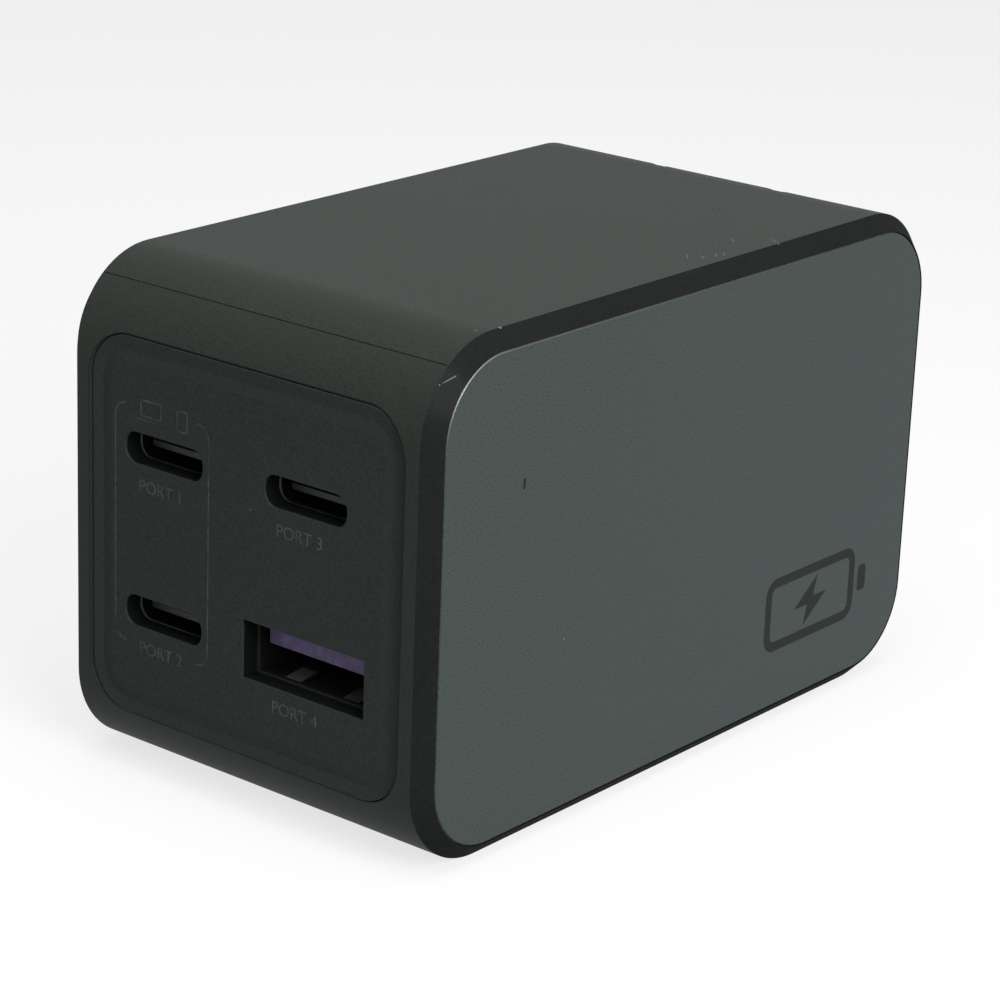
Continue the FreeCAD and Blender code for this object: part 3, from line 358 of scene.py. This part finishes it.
def place_group(tree, name, **values):
    """A shader group placed in a material, with its own values."""
    made = tree.nodes.new("ShaderNodeGroup")
    made.node_tree = bpy.data.node_groups[name]
    for label, value in values.items():
        feed(tree, made.inputs[label.replace("_", " ")], value)
    return made


def metres(spot):
    """A place or size in metres, from millimetres."""
    return tuple(value * MM for value in spot)


def mark_values(kind, spots, size):
    """The values of a mark's group, from millimetres."""
    if kind == "scratch":
        return dict(Start=metres(spots[0]), End=metres(spots[1]), Width=size * MM)
    if kind == "behind":
        return dict(Level=spots * MM, Over=size * MM)
    if kind == "patch":
        return dict(Place=metres(spots), Half=metres(size))
    if kind == "worn":
        return dict(Rubs_per_metre=spots, Share=size)
    if kind == "joint":
        low, high, corner = spots
        half = (high - low) / 2 - Vector((corner, -PAST_BOTH_ENDS, corner))
        return dict(Centre=metres((low + high) / 2), Half=metres(half), Corner=corner * MM, Width=size * MM)
    return dict(Place=metres(spots), Radius=size * MM)


def finish(name, tint, roughness, metallic=0.0, grain=5000.0, tone=0.2, cloud=0.1, relief=0.0,
           specular=0.5, coat=0.0, marks=()):
    """A procedural finish. Marks are (kind, place, size, colour), in millimetres: "speck" and "near" take a
    point and a radius, "edge" the same for a plate's broken edge, "scratch" two ends and a width, "patch" a
    point and half sizes, "behind" a level along Y and what it fades over, "joint" a window's two corners and
    rounding and a width; "worn" takes rubs per metre and a share."""
    made = bpy.data.materials.new(name)
    made.use_nodes = True
    tree = made.node_tree
    shader = tree.nodes["Principled BSDF"]
    given = tree.nodes.new("ShaderNodeTexCoord").outputs
    place = given["Object"]
    body = place_group(tree, "surface_grain", Vector=place, Color=(*tint, 1), Roughness=roughness,
                       Grain_per_metre=grain, Grain_tone=tone, Cloud_tone=cloud)
    paint = body.outputs["Color"]
    for kind, spots, size, shade in marks:
        group = "near" if kind == "edge" else kind
        mask = place_group(tree, group, Vector=place, **mark_values(kind, spots, size)).outputs["Mask"]
        # An edge mark is a painted highlight, on the part of a plate's broken edge that faces up
        if kind == "edge":
            edge = place_group(tree, "edge", Normal=given["Normal"]).outputs["Mask"]
            mask = math(tree, "MULTIPLY", mask, edge)
        paint = blend(tree, mask, paint, shade)
    tree.links.new(paint, shader.inputs["Base Color"])
    tree.links.new(body.outputs["Roughness"], shader.inputs["Roughness"])
    shader.inputs["Metallic"].default_value = metallic
    shader.inputs["Specular IOR Level"].default_value = specular
    shader.inputs["Coat Weight"].default_value = coat
    shader.inputs["Coat Roughness"].default_value = roughness
    if relief:
        bump = tree.nodes.new("ShaderNodeBump")
        bump.inputs["Strength"].default_value = 1.0
        bump.inputs["Distance"].default_value = relief * MM
        tree.links.new(body.outputs["Height"], bump.inputs["Height"])
        tree.links.new(bump.outputs["Normal"], shader.inputs["Normal"])
    return made


def wear(material, *names):
    """Gives CAD nodes one finish."""
    for name in names:
        slots = NODES[name].data.materials
        slots.clear()
        slots.append(material)


# Printed marks

def on_front(x, z):
    """From a flat drawing to the port panel's face, with its place in millimetres."""
    return Matrix.Translation((x * MM, FRONT_PLANE, z * MM)) @ Matrix.Rotation(radians(90), 4, "X")


def on_side(y, z):
    """From a flat drawing to the right side plate's face, with its place in millimetres."""
    turn = Matrix(((0, 0, 1, 0), (1, 0, 0, 0), (0, 1, 0, 0), (0, 0, 0, 1)))
    return Matrix.Translation((SIDE_PLANE, y * MM, z * MM)) @ turn


def rounded(bm, low, high, radius):
    """A flat plate with round corners, from its two corners and radius in millimetres."""
    made = bmesh.ops.create_grid(bm, x_segments=1, y_segments=1, size=0.5)["verts"]
    low, high = Vector(low) * MM, Vector(high) * MM
    size, middle = high - low, (low + high) / 2
    bmesh.ops.scale(bm, vec=(size.x, size.y, 1), verts=made)
    bmesh.ops.translate(bm, vec=(middle.x, middle.y, 0), verts=made)
    bevelled = bmesh.ops.bevel(bm, geom=made, offset=radius * MM, offset_type="OFFSET", affect="VERTICES",
                               segments=CORNER_SEGMENTS, profile=0.5, material=-1)["verts"]
    return bevelled[0].link_faces[0]


def ring(bm, low, high, radius, width):
    """A thin outline with round corners, from its corners and radius in millimetres and its line width."""
    face = rounded(bm, low, high, radius)
    bmesh.ops.inset_region(bm, faces=[face], thickness=width, use_boundary=True, use_even_offset=True)
    bmesh.ops.delete(bm, geom=[face], context="FACES")


def break_line(bm, x_low, x_high, above=None, below=None):
    """Opens an outline between two places, above or below a level, all in millimetres."""
    x_low, x_high = x_low * MM, x_high * MM
    for x in (x_low, x_high):
        bmesh.ops.bisect_plane(bm, geom=[*bm.verts, *bm.edges, *bm.faces], plane_co=(x, 0, 0),
                               plane_no=(1, 0, 0))
    gone = []
    for face in bm.faces:
        middle = face.calc_center_median()
        past = middle.y > above * MM if above is not None else middle.y < below * MM
        if past and x_low < middle.x < x_high:
            gone.append(face)
    bmesh.ops.delete(bm, geom=gone, context="FACES")


def printed(name, bm, matrix, film, material):
    """Gives a flat drawing its ink thickness, sets it on its surface and lets it ride with the housing."""
    raised = bmesh.ops.extrude_face_region(bm, geom=bm.faces[:])["geom"]
    bmesh.ops.translate(bm, vec=(0, 0, film), verts=[v for v in raised if isinstance(v, bmesh.types.BMVert)])
    bmesh.ops.recalc_face_normals(bm, faces=bm.faces[:])
    bmesh.ops.transform(bm, matrix=matrix, verts=bm.verts[:])
    mesh = bpy.data.meshes.new(name)
    bm.to_mesh(mesh)
    bm.free()
    mesh.materials.append(material)
    piece = bpy.data.objects.new(name, mesh)
    bpy.context.scene.collection.objects.link(piece)
    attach(piece, HOUSING)


def lettering(text, height):
    """Flat lettering as a bmesh, centred."""
    curve = bpy.data.curves.new(text, "FONT")
    curve.body = text
    curve.size = height
    curve.align_x = "CENTER"
    curve.align_y = "CENTER"
    drawn = bpy.data.objects.new(text, curve)
    bm = bmesh.new()
    bm.from_mesh(bpy.data.meshes.new_from_object(drawn))
    bpy.data.objects.remove(drawn)
    bmesh.ops.remove_doubles(bm, verts=bm.verts[:], dist=MERGE_WITHIN)
    return bm


class CHARGER_OT_groups(Operator):
    """Builds the shader groups that the finishes share"""
    bl_idname = "charger.groups"
    bl_label = "Shader Groups"

    def execute(self, context):
        surface_group()
        speck_group()
        scratch_group()
        recess_shade_group()
        edge_highlight_group()
        near_group()
        glint_patch_group()
        joint_shade_group()
        worn_group()
        return {"FINISHED"}


class CHARGER_OT_shell(Operator):
    """Finishes the matte housing, its front and the port panel, with painted shade in the gap round the panel
    and inside its openings
    """
    bl_idname = "charger.shell"
    bl_label = "Housing"

    def execute(self, context):
        look = context.scene.charger_finish
        pale, dent, dark = (0.085, 0.092, 0.088), (0.010, 0.013, 0.011), (0.006, 0.007, 0.007)
        strokes = (((14.1, 9.7, TOP), (14.9, 9.0, TOP)), ((16.6, 12.0, TOP), (17.3, 11.4, TOP)),
                   ((14.6, 2.9, TOP), (15.4, 1.9, TOP)), ((15.7, 3.4, TOP), (16.4, 2.7, TOP)),
                   ((16.0, 4.9, TOP), (16.7, 4.1, TOP)), ((16.4, 5.4, TOP), (17.0, 4.8, TOP)),
                   ((6.7, 17.4, TOP), (7.0, 17.3, TOP)), ((-1.4, -30.2, 41.6), (-1.4, -31.0, 41.2)))
        chips = (((17.0, -32.8, 9.3), 0.12), ((16.86, -26.2, 41.95), 0.10), ((17.65, -24.4, TOP), 0.14))
        worn = (("scratch", ((6.9, 17.0, TOP), (7.7, 17.0, TOP)), 0.3, dent),
                *(("speck", spot, size, pale) for spot, size in chips),
                *(("scratch", ends, 0.12, pale) for ends in strokes))
        moulding = dict(tint=look.shell, roughness=look.shell_gloss, grain=6000, cloud=0.12, relief=0.0015,
                        specular=0.108)
        wear(finish("shell_black", tone=2.0, marks=worn, **moulding), "main_shell")

        low, high = (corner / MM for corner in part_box("port_panel"))
        gap = Vector((PANEL_GAP, 0, PANEL_GAP))
        # Painted shade: a dark line on the front cover along the gap round the port panel, standing in for
        # the gap's shadow
        joint = ("joint", (low - gap, high + gap, WINDOW_ROUNDING), JOINT_SHADE_WIDTH, dark)
        wear(finish("cover_black", tone=1.4, marks=(*worn, joint), **moulding), "front_cover")

        front = FRONT_PLANE / MM
        # Painted shade: the walls of the port openings, behind the panel's face, are darkened
        wear(finish("panel_black", look.panel, look.shell_gloss, grain=5500, tone=0.9, cloud=0.1,
                    relief=0.001, specular=0.02,
                    marks=(("behind", front + 0.17, 0.1, dark), ("speck", (0.8, front, 25.7), 0.09, pale))),
             "port_panel")
        return {"FINISHED"}


class CHARGER_OT_rims(Operator):
    """Finishes the polished rims"""
    bl_idname = "charger.rims"
    bl_label = "Rims"

    def execute(self, context):
        look = context.scene.charger_finish
        pale = (0.15, 0.16, 0.155)
        worn = (("scratch", ((17.82, -31.3, 39.06), (17.84, -31.25, 39.08)), 0.09, pale),
                ("scratch", ((17.94, -31.0, 39.19), (18.32, -30.05, 39.6)), 0.06, pale),
                ("speck", (17.7, -24.4, TOP), 0.12, pale), ("speck", (17.75, 11.2, TOP), 0.08, pale))
        wear(finish("rim_black", look.rim, look.rim_gloss, grain=3000, tone=0.6, cloud=0.3, specular=0.0,
                    coat=0.04, marks=worn), "side_bezel_left", "side_bezel_right")
        return {"FINISHED"}


class CHARGER_OT_plates(Operator):
    """Finishes the gunmetal side plates and prints the charging mark on the right one"""
    bl_idname = "charger.plates"
    bl_label = "Side Plates"

    def execute(self, context):
        look, sizes = context.scene.charger_finish, context.scene.charger_print
        pale, dark = (0.16, 0.17, 0.17), (0.008, 0.008, 0.008)
        # The first two marks are painted highlights on the plate's upper broken edge, brightest at the front
        # corner; then come a dark scratch and two pale specks
        worn = (("edge", (PLATE, -27.0, 39.8), 46.0, (0.115, 0.122, 0.120)),
                ("edge", (PLATE, -29.8, 38.7), 6.5, (0.22, 0.235, 0.232)),
                ("scratch", ((PLATE, -22.4, 29.45), (PLATE, -22.4, 29.95)), 0.3, dark),
                ("speck", (PLATE, -16.7, 15.7), 0.07, pale), ("speck", (18.95, 16.6, 40.75), 0.12, pale))
        wear(finish("gunmetal", look.plate, look.plate_gloss, metallic=0.35, grain=8000, tone=2.6, cloud=0.08,
                    relief=0.0015, specular=0.16, marks=worn), "side_panel_left", "side_panel_right")

        ink = finish("side_ink", look.mark, 0.5, grain=7500, tone=0.6, cloud=0.1, specular=0.12)
        corner = on_side(11.0, 6.4)
        battery = bmesh.new()
        ring(battery, (0, 0), (13.4, 6.6), 1.5, sizes.side_line)
        rounded(battery, (14.0, 2.1), (15.2, 4.5), 0.4)
        printed("battery_mark", battery, corner, sizes.film, ink)
        bolt = bmesh.new()
        spots = ((7.6, 5.4), (4.3, 3.0), (6.3, 3.0), (5.8, 1.2), (9.1, 3.6), (7.1, 3.6))
        bolt.faces.new([bolt.verts.new((x * MM, y * MM, 0)) for x, y in spots])
        printed("bolt_mark", bolt, corner, sizes.film, ink)
        return {"FINISHED"}


class CHARGER_OT_ports(Operator):
    """Finishes the four receptacles, with painted shade inside them and painted highlights at their fronts"""
    bl_idname = "charger.ports"
    bl_label = "Receptacles"

    def execute(self, context):
        look = context.scene.charger_finish
        dark = (0.006, 0.006, 0.006)
        # Painted light: the three equal steel shells get their own brightness, as the light falls on each, a
        # painted highlight at the left of the front and painted shade inside
        for number, grey in ((1, 0.035), (2, 0.075), (3, 0.03)):
            low, high = (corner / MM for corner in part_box(f"usb_c_shell_{number}"))
            middle = (low.z + high.z) / 2
            mouth_highlight_and_shade = (("near", (low.x, low.y, middle), 2.0, (0.27, 0.28, 0.27)),
                     ("behind", low.y + 0.02, 0.02, dark))
            wear(finish(f"port_edge_{number}", (grey, grey, grey), 0.45, metallic=0.3, grain=2600, tone=0.5,
                        cloud=0.2, specular=0.2, marks=mouth_highlight_and_shade), f"usb_c_shell_{number}")
            low, high = (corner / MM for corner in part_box(f"usb_c_tongue_{number}"))
            # The tongue's light front is partly its real steel mid-plate; its fading towards the left is
            # painted light, and its top face behind the front gets painted shade
            nose_light_and_shade = (("near", (high.x - 1.2, low.y, middle), 4.6, (0.120, 0.126, 0.124)),
                    ("behind", low.y + 0.005, 0.02, dark))
            wear(finish(f"tongue_grey_{number}", (0.030, 0.033, 0.032), 0.5, grain=2500, tone=0.8,
                        specular=0.1, marks=nose_light_and_shade), f"usb_c_tongue_{number}")

        low, high = (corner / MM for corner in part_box("usb_a_shell"))
        tabs = [((low.x + high.x) / 2 + side * 3.0, low.y + 1.5, low.z + 0.45) for side in (-1, 1)]
        # Painted shade deep in the wide port, and painted glints on its two spring tabs
        throat_shade_and_tab_glints = (("behind", low.y + 0.03, 0.25, (0.016, 0.016, 0.016)),
                  *(("patch", spot, (0.8, 1.0, 0.45), (0.14, 0.14, 0.136)) for spot in tabs))
        wear(finish("port_steel", (0.055, 0.055, 0.055), 0.4, metallic=0.5, grain=2600, tone=0.25, cloud=0.2,
                    specular=0.2, marks=throat_shade_and_tab_glints), "usb_a_shell")
        wear(finish("tongue_violet", look.tongue, 0.5, grain=1400, tone=1.3, cloud=0.6, specular=0.15),
             "usb_a_tongue")
        wear(finish("contact_gold", (0.62, 0.42, 0.16), 0.3, metallic=1.0, grain=3000, tone=0.2),
             "usb_c_contacts_1", "usb_c_contacts_2", "usb_c_contacts_3", "usb_a_contacts")
        return {"FINISHED"}


class CHARGER_OT_print(Operator):
    """Prints the bracket, the pictograms and the plain labels on the port panel"""
    bl_idname = "charger.print"
    bl_label = "Port Print"

    def execute(self, context):
        look, sizes = context.scene.charger_finish, context.scene.charger_print
        ink = finish("port_ink", look.print, 0.55, grain=1600, tone=1.4, cloud=0.6, specular=0.02,
                     marks=(("worn", 260.0, 0.42, look.panel),))
        bracket, opening = bmesh.new(), (-12.6, -4.9)
        ring(bracket, (-13.8, 11.4), (-3.55, 31.3), 1.2, sizes.line)
        break_line(bracket, *opening, above=30)
        break_line(bracket, *opening, below=13)
        printed("port_bracket", bracket, on_front(0, 0), sizes.film, ink)
        pictures = bmesh.new()
        ring(pictures, (-11.0, 30.5), (-8.7, 31.9), 0.2, sizes.line)
        rounded(pictures, (-11.3, 30.15), (-8.4, 30.3), 0.05)
        ring(pictures, (-7.1, 30.1), (-5.9, 31.9), 0.25, sizes.line)
        printed("device_pictures", pictures, on_front(0, 0), sizes.film, ink)
        for number, x, z in ((1, -8.75, 24.75), (2, -8.7, 11.2), (3, 5.85, 24.7), (4, 5.65, 10.25)):
            label = lettering(f"PORT {number}", sizes.label)
            printed(f"port_label_{number}", label, on_front(x, z), sizes.film, ink)
        return {"FINISHED"}


class CHARGER_OT_plug(Operator):
    """Finishes the fold-away plug and its springs, wires and screws"""
    bl_idname = "charger.plug"
    bl_label = "Plug"

    def execute(self, context):
        wear(finish("blade_nickel", (0.44, 0.43, 0.41), 0.28, metallic=1.0, grain=1800, tone=0.3, cloud=0.5,
                    relief=0.0004), "plug_blade_left", "plug_blade_right")
        wear(finish("plug_black", (0.022, 0.023, 0.023), 0.5, grain=5000, tone=0.4, relief=0.006),
             "plug_shaft", "plug_retainer")
        wear(finish("screw_steel", (0.50, 0.50, 0.50), 0.32, metallic=1.0, grain=3000, tone=0.2),
             "retainer_screws")
        wear(finish("spring_bronze", (0.56, 0.36, 0.16), 0.34, metallic=1.0, grain=2600, tone=0.2),
             "contact_spring_left", "contact_spring_right", "detent_spring")
        wear(finish("wire_red", (0.42, 0.03, 0.02), 0.45, grain=3000), "input_wire_left")
        wear(finish("wire_blue", (0.03, 0.08, 0.40), 0.45, grain=3000), "input_wire_right")
        return {"FINISHED"}


class CHARGER_OT_inside(Operator):
    """Finishes the boards and what stands on them"""
    bl_idname = "charger.inside"
    bl_label = "Boards"

    def execute(self, context):
        for name, tint, gloss, metallic, grain, nodes in (
                ("board_green", (0.02, 0.12, 0.05), 0.35, 0.0, 900, ("main_board", "port_board")),
                ("ferrite", (0.030, 0.030, 0.034), 0.7, 0.0, 2500, ("transformer_core", "choke_core")),
                ("bobbin_black", (0.030, 0.030, 0.030), 0.5, 0.0, 3000, ("transformer_bobbin",)),
                ("winding_tape", (0.70, 0.46, 0.04), 0.35, 0.0, 600, ("transformer_winding",)),
                ("winding_copper", (0.66, 0.28, 0.11), 0.35, 0.8, 1500, ("choke_windings",)),
                ("can_sleeve", (0.025, 0.025, 0.040), 0.35, 0.0, 700,
                 ("bulk_capacitor_1", "bulk_capacitor_2")),
                ("can_bare", (0.62, 0.62, 0.62), 0.35, 1.0, 1500,
                 ("output_capacitor_1", "output_capacitor_2")),
                ("capacitor_yellow", (0.62, 0.42, 0.05), 0.4, 0.0, 1200, ("x_capacitor",)),
                ("capacitor_blue", (0.02, 0.13, 0.36), 0.4, 0.0, 1200, ("y_capacitor",)),
                ("fuse_case", (0.030, 0.030, 0.030), 0.5, 0.0, 3000, ("fuse",)),
                ("chip_black", (0.022, 0.022, 0.022), 0.6, 0.0, 5000,
                 ("bridge_rectifier", "optocoupler", "power_switch", "sync_rectifier", "port_controller_1",
                  "port_controller_2", "buck_inductor_1", "buck_inductor_2")),
                ("spreader_aluminium", (0.62, 0.62, 0.62), 0.4, 1.0, 1200, ("heat_spreader",)),
                ("pad_grey", (0.30, 0.33, 0.37), 0.8, 0.0, 2500, ("thermal_pad", "board_pad")),
                ("film_clear", (0.55, 0.50, 0.36), 0.3, 0.0, 800, ("insulation_film",))):
            wear(finish(name, tint, gloss, metallic=metallic, grain=grain, tone=0.25, cloud=0.2), *nodes)
        return {"FINISHED"}


# Studio

def studio_paper(studio):
    """The floor's material: it takes the shadow, and shows partly white by itself."""
    made = bpy.data.materials.new("studio_paper")
    made.use_nodes = True
    tree = made.node_tree
    shader = tree.nodes["Principled BSDF"]
    shader.inputs["Roughness"].default_value = 0.9
    shader.inputs["Specular IOR Level"].default_value = 0.0
    white = tree.nodes.new("ShaderNodeEmission")
    mixed = tree.nodes.new("ShaderNodeMixShader")
    visible = shown(tree)
    tree.links.new(blend(tree, visible, studio.bounce, studio.floor), shader.inputs["Base Color"])
    tree.links.new(math(tree, "MULTIPLY", visible, studio.paper), mixed.inputs["Fac"])
    tree.links.new(shader.outputs[0], mixed.inputs[1])
    tree.links.new(white.outputs[0], mixed.inputs[2])
    tree.links.new(mixed.outputs[0], tree.nodes["Material Output"].inputs["Surface"])
    return made


def set_floor(scene, studio):
    """A wide floor just under the block."""
    bm = bmesh.new()
    bmesh.ops.create_grid(bm, x_segments=1, y_segments=1, size=FLOOR_REACH)
    bmesh.ops.translate(bm, vec=(0, 0, CAD_BOX[0].z - FLOOR_DROP), verts=bm.verts[:])
    mesh = bpy.data.meshes.new("studio_floor")
    bm.to_mesh(mesh)
    bm.free()
    floor = bpy.data.objects.new("studio_floor", mesh)
    scene.collection.objects.link(floor)
    mesh.materials.append(studio_paper(studio))


def set_sky(scene, studio):
    """Even light all round, white where it shows."""
    world = bpy.data.worlds.new("studio_sky")
    world.use_nodes = True
    scene.world = world
    tree = world.node_tree
    sky = tree.nodes["Background"].inputs
    sky["Color"].default_value = (1, 1, 1, 1)
    level = math(tree, "ADD", math(tree, "MULTIPLY", shown(tree), 1.0 - studio.sky), studio.sky)
    tree.links.new(level, sky["Strength"])


def set_lamps(scene, studio):
    """The broad lamps, turned to the block."""
    for name, place, size, setting in LAMPS:
        lamp = bpy.data.lights.new(name, "AREA")
        lamp.energy = getattr(studio, setting)
        lamp.size = size
        lit = bpy.data.objects.new(name, lamp)
        lit.location = place
        lit.rotation_euler = (LIT_SPOT - Vector(place)).to_track_quat("-Z", "Y").to_euler()
        scene.collection.objects.link(lit)


def set_camera(scene, studio):
    """The camera at the photograph's viewing angle."""
    lens = bpy.data.cameras.new("photo_camera")
    lens.lens = studio.lens
    lens.sensor_width = SENSOR_WIDTH
    lens.clip_start = NEAREST_SEEN
    camera = bpy.data.objects.new("photo_camera", lens)
    camera.location = studio.camera
    camera.rotation_euler = studio.turn
    scene.collection.objects.link(camera)
    scene.camera = camera


class CHARGER_OT_stage(Operator):
    """Sets the floor, the soft light and the camera"""
    bl_idname = "charger.stage"
    bl_label = "Studio"

    def execute(self, context):
        scene, studio = context.scene, context.scene.charger_stage
        scene.view_settings.view_transform = "Standard"
        set_floor(scene, studio)
        set_sky(scene, studio)
        set_lamps(scene, studio)
        set_camera(scene, studio)
        return {"FINISHED"}


STEPS = (CHARGER_OT_groups, CHARGER_OT_shell, CHARGER_OT_rims, CHARGER_OT_plates, CHARGER_OT_ports,
         CHARGER_OT_print, CHARGER_OT_plug, CHARGER_OT_inside, CHARGER_OT_stage)
SETTINGS = {"charger_finish": ChargerFinish, "charger_print": ChargerPrint, "charger_stage": ChargerStage}


class CHARGER_PT_dresser(Panel):
    """Lists the charger's settings and steps"""
    bl_idname = "CHARGER_PT_dresser"
    bl_label = "Charging Block"
    bl_space_type = "VIEW_3D"
    bl_region_type = "UI"
    bl_category = "Charger"

    def draw(self, context):
        for attribute, group in SETTINGS.items():
            column = self.layout.column(align=True)
            for name in group.__annotations__:
                column.prop(getattr(context.scene, attribute), name)
        for step in STEPS:
            self.layout.operator(step.bl_idname)


def register():
    for cls in (*SETTINGS.values(), *STEPS, CHARGER_PT_dresser):
        bpy.utils.register_class(cls)
    for attribute, group in SETTINGS.items():
        setattr(bpy.types.Scene, attribute, PointerProperty(type=group))


def unregister():
    for attribute in SETTINGS:
        delattr(bpy.types.Scene, attribute)
    for cls in reversed((*SETTINGS.values(), *STEPS, CHARGER_PT_dresser)):
        bpy.utils.unregister_class(cls)


def main():
    register()
    bpy.ops.charger.groups()
    bpy.ops.charger.shell()
    bpy.ops.charger.rims()
    bpy.ops.charger.plates()
    bpy.ops.charger.ports()
    bpy.ops.charger.print()
    bpy.ops.charger.plug()
    bpy.ops.charger.inside()
    bpy.ops.charger.stage()


if __name__ == "__main__":
    main()
